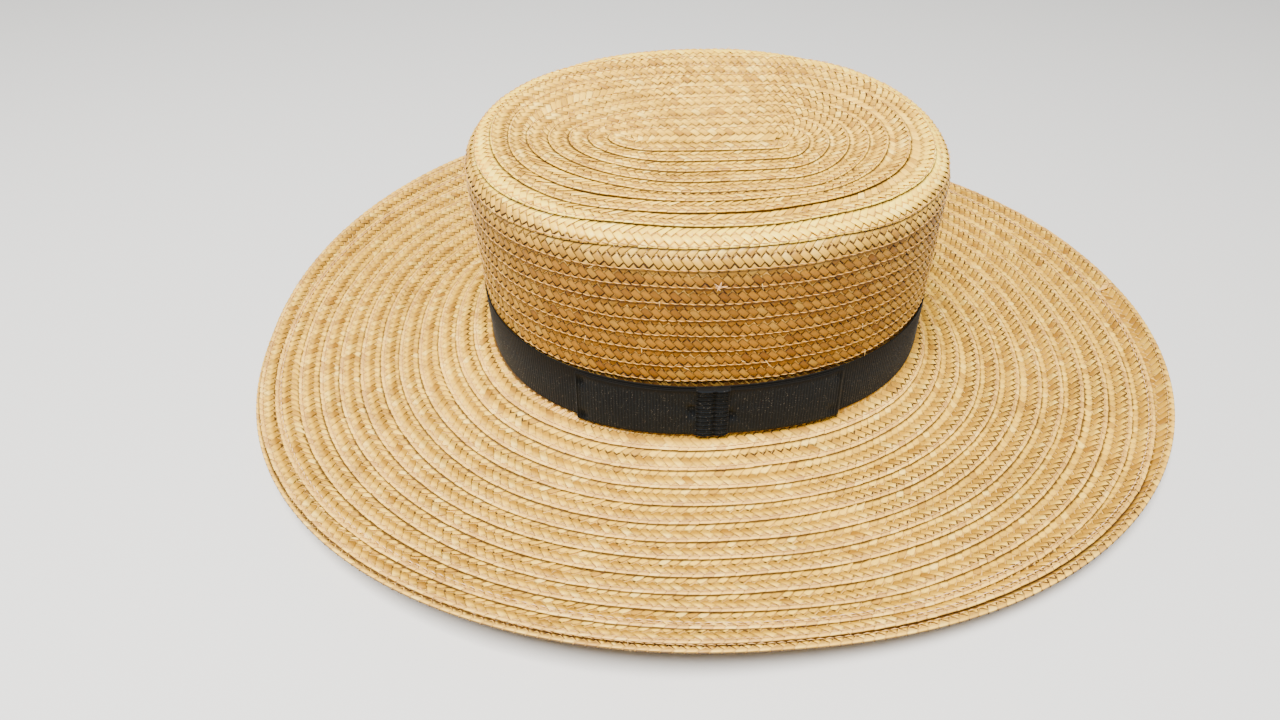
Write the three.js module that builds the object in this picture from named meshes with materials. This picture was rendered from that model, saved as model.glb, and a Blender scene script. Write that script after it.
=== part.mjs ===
// A flat-topped straw hat of sewn plait, with a ribbon band and a flat bow. Millimetres, +Z up.
// The hat stands on its brim: +X runs along its length, and the bow is on the -Y side.
import * as THREE from "three";
import { mergeVertices } from "three/addons/utils/BufferGeometryUtils.js";

const GAP = 0.3; // between pieces that lie on each other
const SEGMENTS = 64; // facets round the hat
const STRAW = 1.8; // thickness of a sewn wall of overlapping plait

// The headline is the oval where the crown meets the brim; the crown's side narrows to the top oval.
const HEADLINE = { halfLength: 96.5, halfWidth: 81, power: 2.29 };
const TOP = { halfLength: 96.5, halfWidth: 77.5, power: 2.12, shiftX: -2.7, shiftY: -1 };
const CROWN = { height: 90.8, shoulder: 11.5, tipDish: 4.5 };

// As it stands, the crown leans a little, because the brim under the bow is flatter than at the back.
const LEAN = { towardsBowDeg: 4.35, towardsLeftDeg: 0.6 };

// The brim falls from the headline to the flat ring that it rests on, then curls up to its edge.
const BRIM = { width: 105.6, headlineRise: 12.5, restDistance: 36, restHalfWidth: 4, edgeRise: 10.8 };

// How the brim's measures change round the hat: each row adds size * cos(turns * angle - phase).
const RIPPLES = [
  { measure: "width", turns: 1, size: 1.9, phaseDeg: 68 },
  { measure: "width", turns: 2, size: 1.2, phaseDeg: -31 },
  { measure: "width", turns: 3, size: 2.4, phaseDeg: 0 },
  { measure: "restDistance", turns: 1, size: 10, phaseDeg: 180 },
  { measure: "restDistance", turns: 2, size: 3.5, phaseDeg: -40 },
  { measure: "edgeRise", turns: 2, size: 4.4, phaseDeg: 180 },
  { measure: "edgeRise", turns: 3, size: 3.9, phaseDeg: -21 },
];

const PLAIT = { width: 8.6, thickness: 1.4 }; // the row sewn under the brim's edge
const RIBBON = { foot: 1, width: 26, thickness: 0.9 };
const BOW = { knotDeg: -96, leftEndDeg: -131.7, rightEndDeg: -59.5, knotHalfDeg: 4.7 };
const LOOP_THICKNESS = 1.5; // a loop of the bow is two layers of ribbon
const KNOT = { proud: 0.9, overhang: 0.8 }; // past the loops' face, and past the band's two edges

const straw = new THREE.MeshStandardMaterial({ color: 0xd6b37a, roughness: 0.55, metalness: 0 });
const darkStraw = new THREE.MeshStandardMaterial({ color: 0xb98a4c, roughness: 0.6, metalness: 0 });
const ribbon = new THREE.MeshStandardMaterial({ color: 0x262524, roughness: 0.7, metalness: 0 });

const radians = THREE.MathUtils.degToRad;
const lerp = THREE.MathUtils.lerp;

// Point of an oval in the direction angle, with the oval's outward normal there.
function ovalPoint(oval, angle) {
  const c = Math.cos(angle);
  const s = Math.sin(angle);
  const { halfLength: a, halfWidth: b, power: n } = oval;
  const radius = (Math.abs(c / a) ** n + Math.abs(s / b) ** n) ** (-1 / n);
  const normal = new THREE.Vector2(
    Math.sign(c) * Math.abs(c) ** (n - 1) / a ** n,
    Math.sign(s) * Math.abs(s) ** (n - 1) / b ** n,
  ).normalize();
  return { x: radius * c, y: radius * s, normal };
}

function brimMeasure(measure, angle) {
  return RIPPLES.filter((ripple) => ripple.measure === measure).reduce(
    (sum, { turns, size, phaseDeg }) => sum + size * Math.cos(turns * angle - radians(phaseDeg)),
    BRIM[measure],
  );
}

// The crown's own frame stands on the headline and leans as the hat rests.
const crownFrame = new THREE.Group();
crownFrame.rotation.set(radians(LEAN.towardsBowDeg), -radians(LEAN.towardsLeftDeg), 0);
crownFrame.position.z = STRAW + BRIM.headlineRise;
crownFrame.updateMatrix();

// Point of the crown's side: height above the headline, out of its outer face by a distance.
function sidePoint(angle, height, out) {
  const share = Math.min(1, height / (CROWN.height - CROWN.shoulder));
  const foot = ovalPoint(HEADLINE, angle);
  const top = ovalPoint(TOP, angle);
  return new THREE.Vector3(
    lerp(foot.x, top.x + TOP.shiftX, share) + foot.normal.x * out,
    lerp(foot.y, top.y + TOP.shiftY, share) + foot.normal.y * out,
    height,
  );
}

// The whole crown: the side's oval drawn in towards the middle of the tip, as radius goes to 0.
const MEAN_RADIUS = (TOP.halfLength + TOP.halfWidth) / 2;
function crownPoint(angle, radius, height) {
  const share = THREE.MathUtils.clamp(height / (CROWN.height - CROWN.shoulder), 0, 1);
  const centre = new THREE.Vector3(TOP.shiftX * share, TOP.shiftY * share, height);
  return centre.lerp(sidePoint(angle, height, 0), radius / MEAN_RADIUS);
}

// Distance from the headline: station 0 to 1 is the fall, 1 to 2 the resting ring, 2 to 3 the curl.
function brimDistance(angle, station) {
  const rest = brimMeasure("restDistance", angle);
  const ends = [0, rest - BRIM.restHalfWidth, rest + BRIM.restHalfWidth, brimMeasure("width", angle)];
  if (station < 0) return station * STRAW;
  const zone = Math.min(2, Math.floor(station));
  return lerp(ends[zone], ends[zone + 1], station - zone);
}

// Point of the brim: below its upper face by a depth. The brim starts at the crown's leaning headline.
function brimPoint(angle, station, below) {
  const { x, y, normal } = ovalPoint(HEADLINE, angle);
  const head = new THREE.Vector3(x, y, 0).applyMatrix4(crownFrame.matrix);
  const fall = (head.z - STRAW) * (1 - THREE.MathUtils.clamp(station, 0, 1)) ** 2;
  const curl = brimMeasure("edgeRise", angle) * Math.max(0, station - 2) ** 2;
  const out = brimDistance(angle, station);
  const height = STRAW + fall + curl - below;
  return new THREE.Vector3(head.x + normal.x * out, head.y + normal.y * out, height);
}

// Shares the vertices, drops faces that shrink to nothing at a pole, and moves each point to its place.
function bent(geometry, place) {
  geometry.deleteAttribute("normal");
  geometry.deleteAttribute("uv");
  const merged = mergeVertices(geometry, 1e-4);
  const corners = Array.from(merged.index.array);
  const faces = [];
  for (let i = 0; i < corners.length; i += 3) {
    const [a, b, c] = corners.slice(i, i + 3);
    if (a !== b && b !== c && c !== a) faces.push(a, b, c);
  }
  merged.setIndex(faces);
  const position = merged.getAttribute("position");
  for (let i = 0; i < position.count; i++) {
    const point = place(new THREE.Vector3().fromBufferAttribute(position, i));
    position.setXYZ(i, point.x, point.y, point.z);
  }
  merged.computeVertexNormals();
  return merged;
}

// A profile of [radius, height] points, turned about the upright axis and then bent.
function turned(profile, place) {
  const points = profile.map(([radius, height]) => new THREE.Vector2(radius, height));
  return bent(new THREE.LatheGeometry(points, SEGMENTS), ({ x, y, z }) =>
    place(Math.atan2(x, z), Math.hypot(x, z), y),
  );
}

function named(name, geometry, material) {
  const mesh = new THREE.Mesh(geometry, material);
  mesh.name = name;
  return mesh;
}

// One face of the crown from the middle of the tip to the foot, inset from the outer face.
function crownFace(inset) {
  const rim = CROWN.height - inset;
  const reach = MEAN_RADIUS - CROWN.shoulder;
  const bend = CROWN.shoulder - inset;
  const dished = (share) => [reach * share, rim - CROWN.tipDish * (1 - share ** 2)];
  const rounded = (deg) => [
    reach + bend * Math.sin(radians(deg)),
    rim - bend * (1 - Math.cos(radians(deg))),
  ];
  const upright = (share) => [MEAN_RADIUS - inset, lerp(GAP, CROWN.height - CROWN.shoulder, share)];
  return [
    ...[0, 0.35, 0.7].map(dished),
    ...[0, 22.5, 45, 67.5, 90].map(rounded),
    ...[0.5, 0].map(upright),
  ];
}

// The crown is coiled from the middle of its tip, over the shoulder and down its side, and is open below.
function crown() {
  const profile = [...crownFace(STRAW), ...crownFace(0).reverse()];
  return named("crown", turned(profile, crownPoint), straw);
}

// A flat ring of the brim between two stations, from one depth to another below its upper face.
function brimRing(stations, top, bottom) {
  const first = 2; // keeps the lathe's radius above 0
  const lower = stations.map((station) => [station + first, -bottom]);
  const upper = stations.map((station) => [station + first, -top]).reverse();
  const profile = [...lower, ...upper, lower[0]];
  return turned(profile, (angle, radius, height) => brimPoint(angle, radius - first, -height));
}

function brim() {
  const stations = [-1, 0, 0.2, 0.4, 0.6, 0.8, 1, 2, 2.2, 2.4, 2.6, 2.8, 3];
  return named("brim", brimRing(stations, 0, STRAW), straw);
}

// The doubled edge: one more row of plait under the outermost one.
function brimEdge() {
  const curlLength = BRIM.width - BRIM.restDistance - BRIM.restHalfWidth;
  const inner = 3 - PLAIT.width / curlLength;
  const top = STRAW + GAP;
  const stations = [inner, (inner + 3) / 2, 3];
  return named("brim_edge", brimRing(stations, top, top + PLAIT.thickness), darkStraw);
}

// The ribbon lies round the foot of the crown's side.
function hatBand() {
  const [near, far] = [GAP, GAP + RIBBON.thickness];
  const heights = [RIBBON.foot, RIBBON.foot + RIBBON.width / 2, RIBBON.foot + RIBBON.width];
  const outer = heights.map((height) => [MEAN_RADIUS + far, height]);
  const inner = heights.map((height) => [MEAN_RADIUS + near, height]).reverse();
  const profile = [...outer, ...inner, outer[0]];
  const place = (angle, radius, height) => sidePoint(angle, height, radius - MEAN_RADIUS);
  return named("hat_band", turned(profile, place), ribbon);
}

// A slab of ribbon that lies on the band. It is over the band's width by overhang at both of its edges.
function slab(name, startDeg, endDeg, thickness, overhang) {
  const near = GAP + RIBBON.thickness + GAP;
  const middleDeg = (startDeg + endDeg) / 2;
  const middleHeight = RIBBON.foot + RIBBON.width / 2;
  const middleOut = near + thickness / 2;
  const columns = Math.max(4, Math.round((endDeg - startDeg) / 3));
  const height = RIBBON.width + 2 * overhang;
  const box = new THREE.BoxGeometry(endDeg - startDeg, height, thickness, columns, 2, 1);
  const geometry = bent(box, ({ x, y, z }) =>
    sidePoint(radians(middleDeg + x), middleHeight + y, middleOut + z),
  );
  return named(name, geometry, ribbon);
}

// A flat bow: two loops that lie on the band, and the knot between them.
function bow() {
  const gapDeg = THREE.MathUtils.radToDeg(GAP / HEADLINE.halfWidth);
  const knotLeft = BOW.knotDeg - BOW.knotHalfDeg;
  const knotRight = BOW.knotDeg + BOW.knotHalfDeg;
  return [
    slab("bow_left", BOW.leftEndDeg, knotLeft - gapDeg, LOOP_THICKNESS, 0),
    slab("bow_right", knotRight + gapDeg, BOW.rightEndDeg, LOOP_THICKNESS, 0),
    slab("bow_knot", knotLeft, knotRight, LOOP_THICKNESS + KNOT.proud, KNOT.overhang),
  ];
}

crownFrame.add(crown(), hatBand(), ...bow());
const hat = new THREE.Group();
hat.add(crownFrame, brim(), brimEdge());

// The origin is under the middle of the hat's bounding box, on the surface that the hat stands on.
const middle = new THREE.Box3().setFromObject(hat, true).getCenter(new THREE.Vector3());
hat.position.set(-middle.x, -middle.y, 0);

export default hat;
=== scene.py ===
import math

import bmesh
import bpy
import numpy as np
from mathutils import Matrix, Vector


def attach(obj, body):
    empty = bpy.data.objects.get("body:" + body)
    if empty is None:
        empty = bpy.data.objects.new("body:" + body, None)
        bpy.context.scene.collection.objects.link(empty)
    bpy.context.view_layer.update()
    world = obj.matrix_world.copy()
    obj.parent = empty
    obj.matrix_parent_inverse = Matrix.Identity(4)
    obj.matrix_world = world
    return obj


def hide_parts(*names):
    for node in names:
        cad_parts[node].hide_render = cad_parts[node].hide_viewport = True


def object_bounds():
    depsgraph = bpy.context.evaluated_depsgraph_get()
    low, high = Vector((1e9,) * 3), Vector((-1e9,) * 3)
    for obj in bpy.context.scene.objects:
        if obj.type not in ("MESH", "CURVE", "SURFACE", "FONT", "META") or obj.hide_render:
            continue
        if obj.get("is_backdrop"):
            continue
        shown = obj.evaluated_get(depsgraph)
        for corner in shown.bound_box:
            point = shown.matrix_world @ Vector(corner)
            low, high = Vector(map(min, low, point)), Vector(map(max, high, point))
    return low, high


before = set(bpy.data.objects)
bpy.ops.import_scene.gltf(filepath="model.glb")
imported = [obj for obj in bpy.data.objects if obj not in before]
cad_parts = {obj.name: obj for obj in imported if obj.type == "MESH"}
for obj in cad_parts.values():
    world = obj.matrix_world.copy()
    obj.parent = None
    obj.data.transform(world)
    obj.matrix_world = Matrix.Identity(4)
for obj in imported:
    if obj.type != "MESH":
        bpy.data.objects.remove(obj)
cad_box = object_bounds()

# ---------------------------------------------------------------- camera
# It looks down at the hat from in front, a little to the left of the bow, at about 40 degrees.
# The lens is a telephone's: 24.4 mm on a 36 mm sensor, turned a little to the right and rolled slightly.
CAMERA_PLACE = (-0.0665, -0.3289, 0.2541)
CAMERA_LENS = 24.396
yaw, pitch, roll = 0.105, 0.695, 0.015

forward = Vector((math.sin(yaw) * math.cos(pitch), math.cos(yaw) * math.cos(pitch), -math.sin(pitch)))
level = Vector((math.cos(yaw), -math.sin(yaw), 0))
upward = level.cross(forward)
rolled = level * math.cos(roll) + upward * math.sin(roll)
upright = upward * math.cos(roll) - level * math.sin(roll)
camera_data = bpy.data.cameras.new("camera")
camera_data.sensor_width = 36
camera_data.lens = CAMERA_LENS
camera_data.clip_start = 0.01
camera = bpy.data.objects.new("camera", camera_data)
turned = Matrix((rolled, upright, -forward)).transposed()
camera.matrix_world = Matrix.Translation(CAMERA_PLACE) @ turned.to_4x4()
bpy.context.scene.collection.objects.link(camera)
bpy.context.scene.camera = camera


# ---------------------------------------------------------------- floor and light
# A pale matt studio floor, one big soft lamp overhead and a little in front, and a weak one on each side.
def linear(hex_colour):
    """An sRGB hex colour as the linear RGBA that a shader takes."""
    channels = [int(hex_colour[i : i + 2], 16) / 255 for i in (0, 2, 4)]
    return [c / 12.92 if c <= 0.04045 else ((c + 0.055) / 1.055) ** 2.4 for c in channels] + [1.0]


def material(name):
    """A new material, its node tree and its Principled shader."""
    made = bpy.data.materials.new(name)
    made.use_nodes = True
    return made, made.node_tree, made.node_tree.nodes["Principled BSDF"]


def add(tree, kind, settings=None, **inputs):
    """A shader node with its settings, and its inputs as numbers or as links from other nodes' sockets.

    An input goes by its name, with _ for a space, or by i and its number where several share a name. A node
    given in place of a socket stands for its first output.
    """
    made = tree.nodes.new("ShaderNode" + kind)
    for key, value in (settings or {}).items():
        setattr(made, key, value)
    for key, value in inputs.items():
        by_number = key[0] == "i" and key[1:].isdigit()
        socket = made.inputs[int(key[1:])] if by_number else made.inputs[key.replace("_", " ")]
        if isinstance(value, bpy.types.Node):
            value = value.outputs[0]
        if isinstance(value, bpy.types.NodeSocket):
            tree.links.new(value, socket)
        else:
            socket.default_value = value
    return made


def finished(bm, name):
    """A bmesh as a smoothly shaded mesh."""
    mesh = bpy.data.meshes.new(name)
    bm.to_mesh(mesh)
    bm.free()
    for polygon in mesh.polygons:
        polygon.use_smooth = True
    return mesh


def placed(name, mesh, coat):
    """A mesh as an object in the scene, at the origin, with its material."""
    made = bpy.data.objects.new(name, mesh)
    bpy.context.scene.collection.objects.link(made)
    mesh.materials.append(coat)
    return made


# Board with a matt, pale grey paint: even, with next to no reflection.
painted_board, tree, shader = material("matt_painted_board")
shader.inputs["Base Color"].default_value = linear("C9CBCD")
shader.inputs["Roughness"].default_value = 0.75
shader.inputs["Specular IOR Level"].default_value = 0.3
bm = bmesh.new()
bmesh.ops.create_grid(bm, x_segments=1, y_segments=1, size=6)
placed("floor", finished(bm, "floor"), painted_board)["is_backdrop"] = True

HAT_MIDDLE = Vector((0, 0, 0.05))
for lamp_name, place, size, power in (
    ("overhead", (-0.22, -0.48, 1.14), 0.55, 63.0),
    ("behind", (0.15, 1.1, 0.95), 0.9, 1.5),
    ("left_side", (-1.3, 0.1, 0.6), 0.8, 4.0),
    ("right_side", (1.3, 0.0, 0.5), 0.8, 4.5),
):
    lamp_data = bpy.data.lights.new(lamp_name, "AREA")
    lamp_data.size = size
    lamp_data.energy = power
    lamp_data.color = (1.0, 0.96, 0.9)
    lamp = bpy.data.objects.new(lamp_name, lamp_data)
    turned = (HAT_MIDDLE - Vector(place)).to_track_quat("-Z", "Y")
    lamp.matrix_world = Matrix.Translation(place) @ turned.to_matrix().to_4x4()
    bpy.context.scene.collection.objects.link(lamp)
world = bpy.data.worlds.new("studio")
world.use_nodes = True
world.node_tree.nodes["Background"].inputs["Color"].default_value = linear("E9E7E2")
world.node_tree.nodes["Background"].inputs["Strength"].default_value = 0.32
bpy.context.scene.world = world

# ---------------------------------------------------------------- straw crown and brim
# One plait of split palm straw, about 21 m long, is coiled from the middle of the tip, over the shoulder,
# down the side and out to the brim's edge. Each turn lies on the next one outward and is sewn down along
# its free edge. Millimetres, in the crown's own frame, which stands on the headline and leans a little.
HEADLINE = (96.5, 81, 2.29)  # the oval at the side's foot: half its length, half its width, its power
TOP = (96.5, 77.5, 2.12)  # the oval at the side's top, whose middle is off by TOP_SHIFT
TOP_SHIFT = (-2.7, -1)
WALL, SHOULDER, DISH = 79.3, 11.5, 4.5  # heights of the side and of the shoulder, and how far the tip sinks
MEAN_RADIUS = 87
STRAW, HEADLINE_RISE = 1.8, 12.5  # the straw's thickness, and the headline's height above it
LEAN = (4.35, -0.6)  # degrees about x and y
HAT_PLACE = np.array((-3.1118, -1.8790, 0))
# The brim's width, how far out it rests on the ground, and how far its edge is raised: each is a mean,
# and waves with their number round the hat, size and phase in degrees.
RIPPLES = {
    "width": (105.6, (1, 1.9, 68), (2, 1.2, -31), (3, 2.4, 0)),
    "rest": (36, (1, 10, 180), (2, 3.5, -40)),
    "rise": (10.8, (2, 4.4, 180), (3, 3.9, -21)),
}
REST_HALF_WIDTH = 4

lean_x, lean_y = (math.radians(degrees) for degrees in LEAN)
LEANING = np.array(Matrix.Rotation(lean_x, 3, "X") @ Matrix.Rotation(lean_y, 3, "Y"))


def oval(angle, half_length, half_width, power):
    """A point of an oval in that direction, x and y, and its outward normal there."""
    c, s = np.cos(angle), np.sin(angle)
    reach = (np.abs(c / half_length) ** power + np.abs(s / half_width) ** power) ** (-1 / power)
    out_x = np.sign(c) * np.abs(c) ** (power - 1) / half_length**power
    out_y = np.sign(s) * np.abs(s) ** (power - 1) / half_width**power
    size = np.hypot(out_x, out_y)
    return reach * c, reach * s, out_x / size, out_y / size


def rippled(measure, angle):
    """A brim measure, which changes round the hat."""
    mean, *waves = RIPPLES[measure]
    return mean + sum(size * np.cos(turns * angle - math.radians(phase)) for turns, size, phase in waves)


def dished(x, y):
    """How far the tip sinks below its rim at a place in plan."""
    x, y = x - TOP_SHIFT[0], y - TOP_SHIFT[1]
    rim_x, rim_y, _, _ = oval(np.arctan2(y, x), *TOP)
    rim = np.hypot(rim_x, rim_y) * (MEAN_RADIUS - SHOULDER) / MEAN_RADIUS
    return DISH * (1 - np.minimum(1, np.hypot(x, y) / rim) ** 2)


def from_crown(x, y, z):
    """A point of the crown's frame in the hat's frame."""
    return np.stack([x, y, z], axis=-1) @ LEANING.T + HAT_PLACE + (0, 0, STRAW + HEADLINE_RISE)


def hat_surface(angle, climb):
    """The hat's outer face: climb is millimetres up from the headline, and below 0 out along the brim."""
    foot_x, foot_y, foot_out_x, foot_out_y = oval(angle, *HEADLINE)
    top_x, top_y, out_x, out_y = oval(angle, *TOP)
    side = np.clip(climb, 0, WALL)
    share = side / WALL
    depth = SHOULDER / MEAN_RADIUS * (top_x * out_x + top_y * out_y)
    bend_length = math.pi / 2 * np.sqrt((depth**2 + SHOULDER**2) / 2)
    bend = np.clip((climb - WALL) / bend_length, 0, 1) * math.pi / 2
    inset = depth * (1 - np.cos(bend)) + np.maximum(0, climb - WALL - bend_length)
    x = foot_x + (top_x + TOP_SHIFT[0] - foot_x) * share - out_x * inset
    y = foot_y + (top_y + TOP_SHIFT[1] - foot_y) * share - out_y * inset
    z = side + SHOULDER * np.sin(bend) - np.where(climb > WALL, dished(x, y), 0)
    crown_point = from_crown(x, y, z)
    head = from_crown(foot_x, foot_y, np.zeros_like(foot_x))
    out = np.maximum(0, -climb)
    rest = rippled("rest", angle)
    fall = (head[..., 2] - STRAW) * (1 - np.clip(out / (rest - REST_HALF_WIDTH), 0, 1)) ** 2
    raised_from = rest + REST_HALF_WIDTH
    curled = np.maximum(0, (out - raised_from) / (rippled("width", angle) - raised_from))
    brim_z = STRAW + fall + rippled("rise", angle) * curled**2
    brim_x, brim_y = head[..., 0] + foot_out_x * out, head[..., 1] + foot_out_y * out
    brim_point = np.stack([brim_x, brim_y, brim_z], axis=-1)
    return np.where((climb > 0)[..., None], crown_point, brim_point)


# The coil: turns counts the plait's turns clockwise from the right end of the tip. The first turns are
# rings round a short core, where the plait starts, and the later ones follow the hat's own face.
CORE = (-4.9, -3.2, 29.8, -0.135)  # its middle, half its length, and how much it is skewed
RING_PITCH, RING_FIRST = 7.9, 4.0  # how much a ring is wider than the last one, and the first one's radius
FIRST_BLEND, LAST_BLEND = 4.2, 6.2  # between these turns the rings pass into the hat's face
LAST_TURN = 33.0
STEPS_PER_TURN = 720
# The height of the free edge in front, up from the headline, at some turns.
FREE_EDGE_TURNS = (4.25, 5.25, 6.25, 7.25, 8.25, 9.25, 16.25, 20.346, 33.5)
FREE_EDGE_CLIMB = (126, 116.7, 107.3, 97.0, 87.8, 80.1, 28.5, 0, -113.26)
# How far the last turn stays inside the brim's edge, and the turns before it.
INSIDE_TURNS = (32, 32.25, 32.5, 33)
INSIDE = (5, 3, 1, 0.6)
INSIDE_BEFORE = 6


def ring_point(turns, inward):
    """A place on the first turns, inward millimetres from the free edge of the plait."""
    # The later rings are a little wider at the back left.
    left_back = np.exp(-((((turns % 1) - 0.64) / 0.14) ** 2))
    radius = RING_FIRST + RING_PITCH * turns + 1.4 * np.maximum(0, turns - 3.3) * left_back
    quarter = (turns % 1) * 4
    corner = np.floor(quarter)
    along = np.where(corner % 2 == 0, quarter - corner, 1 - quarter + corner)
    right = np.where((corner == 0) | (corner == 3), 1, -1)
    back = np.where(corner >= 2, 1, -1)
    # Each quarter of a ring is a straight along the core and an arc, and the left ends grow pointed.
    straight = np.where(right > 0, CORE[2], CORE[2] * np.exp(-radius / 12) + 3)
    pointed = CORE[2] - straight
    arc = (radius + pointed / 2) * math.pi / 2
    step = along * (arc + straight)
    turn = np.minimum(step, arc) / arc * math.pi / 2
    seat = straight - np.maximum(0, step - arc)
    drawn = (radius - np.minimum(inward, radius + 1.6)) * (1 - 0.001 * radius * np.sin(2 * turn) ** 2)
    x = right * (seat + (drawn + pointed) * np.cos(turn))
    y = back * drawn * np.sin(turn)
    y = y - np.where(back < 0, 1.6 * np.sin(turn) * np.clip(drawn / 6, 0, 1), 0)
    tilt = CORE[3] * np.exp(-radius / 25)
    x, y = x - tilt * y + CORE[0], y + tilt * x + CORE[1]
    return from_crown(x, y, WALL + SHOULDER - dished(x, y))


def free_edge(turns):
    """How far up from the headline the plait's free edge lies."""
    angle = -2 * math.pi * turns
    c, s = np.cos(angle), np.sin(angle)
    # On the crown the turns sit lower at both ends than in front, and higher at the back.
    early = np.clip(8 - turns, 0, 2.2)
    ends = (1 - np.exp(-((c / 0.75) ** 4))) * (-4.6 - np.where(c < 0, 3.1, 1.2) * early)
    back = np.maximum(0, s) ** 1.5 * (7.8 - 2.6 * early)
    steady = turns - 0.08 * np.sin(4 * math.pi * (turns - 0.25)) * np.clip((20 - turns) / 6, 0, 1)
    climb = np.interp(steady, FREE_EDGE_TURNS, FREE_EDGE_CLIMB)
    climb = climb + (ends + back) * np.clip((16.25 - turns) / 7, 0, 1)
    # The line wanders as a hand-fed seam does.
    wander = 0.22 * np.sin(2.3 * angle + 1) + 0.16 * np.sin(5.7 * angle) + 0.1 * np.sin(13.1 * angle + 2)
    inside = np.where(turns >= 31.9, np.interp(turns, INSIDE_TURNS, INSIDE), INSIDE_BEFORE)
    return np.maximum(climb + wander, -(rippled("width", angle) - inside))


def plait_face(turns, inward):
    """A place on the coil's face, inward millimetres from the free edge of the plait."""
    on_hat = hat_surface(-2 * math.pi * turns, free_edge(turns) + inward)
    share = np.clip((turns - FIRST_BLEND) / (LAST_BLEND - FIRST_BLEND), 0, 1)
    share = (share * share * (3 - 2 * share))[..., None]
    return on_hat * share + ring_point(turns, inward) * (1 - share)


coil_turns = np.linspace(0, LAST_TURN, round(LAST_TURN) * STEPS_PER_TURN + 1)
coil_edge = plait_face(coil_turns, np.zeros_like(coil_turns))
coil_length = np.concatenate([[0], np.cumsum(np.linalg.norm(np.diff(coil_edge, axis=0), axis=1))])


def on_coil(points):
    """Points of a straight plait, x along it, y outward from its free edge and z up, laid on the hat."""
    turns = np.interp(points[:, 0], coil_length, coil_turns)
    inward = -points[:, 1]
    place = plait_face(turns, inward)
    step = 0.0012
    ahead = plait_face(turns + step, inward) - plait_face(turns - step, inward)
    across = plait_face(turns, inward + 0.7) - plait_face(turns, np.maximum(inward - 0.7, -0.7))
    normal = np.cross(across, ahead)
    size = np.linalg.norm(normal, axis=1, keepdims=True)
    normal = np.where(size > 1e-6, normal / np.maximum(size, 1e-6), LEANING[:, 2])
    return place + normal * points[:, 2:]


# Where the plait's face lies above the hat's outer face: its free edge is on top of the next turn.
EDGE_HEIGHT, PLAIT_TILT = 0.6, 1.05 / 9.4
PLAIT_THICKNESS = 1.13
CROWN_STRAW, BRIM_STRAW = 3.45, 3.8  # one repeat of the braid
LOWEST_STRAW = -1.5
# Where the rows of points lie along a straw, and how far each row is sunk, as a share of the relief. A
# tucked straw has one end out of sight, so it needs no more points there. Its sides sink too, past
# SHOULDER_LINE.
STRAW_STEPS = {False: (-1, -0.78, 0, 0.78, 1), True: (-1, 0, 0.78, 1)}
STEP_SINKS = {0: 0.0, 0.78: 0.12, 1: 0.46}
SHOULDER_LINE, SIDE_SINK = 0.74, 0.17


def straw(bm, place, length, width, lean, rise, depth, tipped, tucked=False):
    """One visible straw between two crossings: a flat strip with a low dome, whose ends go under others.

    lean is 1 or -1 for the way it slants, rise is its height, depth its relief, and tipped sinks one end.
    """
    made = bmesh.ops.create_grid(bm, x_segments=len(STRAW_STEPS[tucked]) - 1, y_segments=3, size=1)["verts"]
    for vert in made:
        step = round((vert.co.x + 1) / 2 * (len(STRAW_STEPS[tucked]) - 1))
        b = math.copysign(1 if abs(vert.co.y) > 0.9 else SHOULDER_LINE, vert.co.y)
        vert.co = (STRAW_STEPS[tucked][step], b, 0)
    in_mm, in_shares = bm.loops.layers.uv["straw"], bm.loops.layers.uv["share"]
    for face in dict.fromkeys(face for vert in made for face in vert.link_faces):
        for loop in face.loops:
            a, b, _ = loop.vert.co
            loop[in_mm].uv = (a * length / 2, b * width / 2)
            loop[in_shares].uv = (max(0, 1 - (1 - abs(a)) * length / (2 * width)), b)
    for vert in made:
        a, b = vert.co.x, vert.co.y
        sunk = STEP_SINKS[round(abs(a), 2)] + (SIDE_SINK if abs(b) == 1 else 0)
        z = rise - depth * (sunk - 0.08 * b + tipped * a)
        x, y = a * length / 2, b * width / 2 * (1.0 if abs(a) < 1 else 0.97)
        vert.co = (place[0] + (x - y * lean) * math.sqrt(0.5), place[1] + (x * lean + y) * math.sqrt(0.5), z)
    return made


def close_below(bm, verts):
    """Closes a straw's underside with one face, from its outer end on, and keeps its rim crisp."""
    rim = [edge for edge in dict.fromkeys(e for v in verts for e in v.link_edges) if edge.is_boundary]
    rim.sort(key=lambda edge: -sum(edge.verts[0].co.xy + edge.verts[1].co.xy))
    for edge in rim:
        edge.smooth = False
    bmesh.ops.edgeloop_fill(bm, edges=rim)


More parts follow.
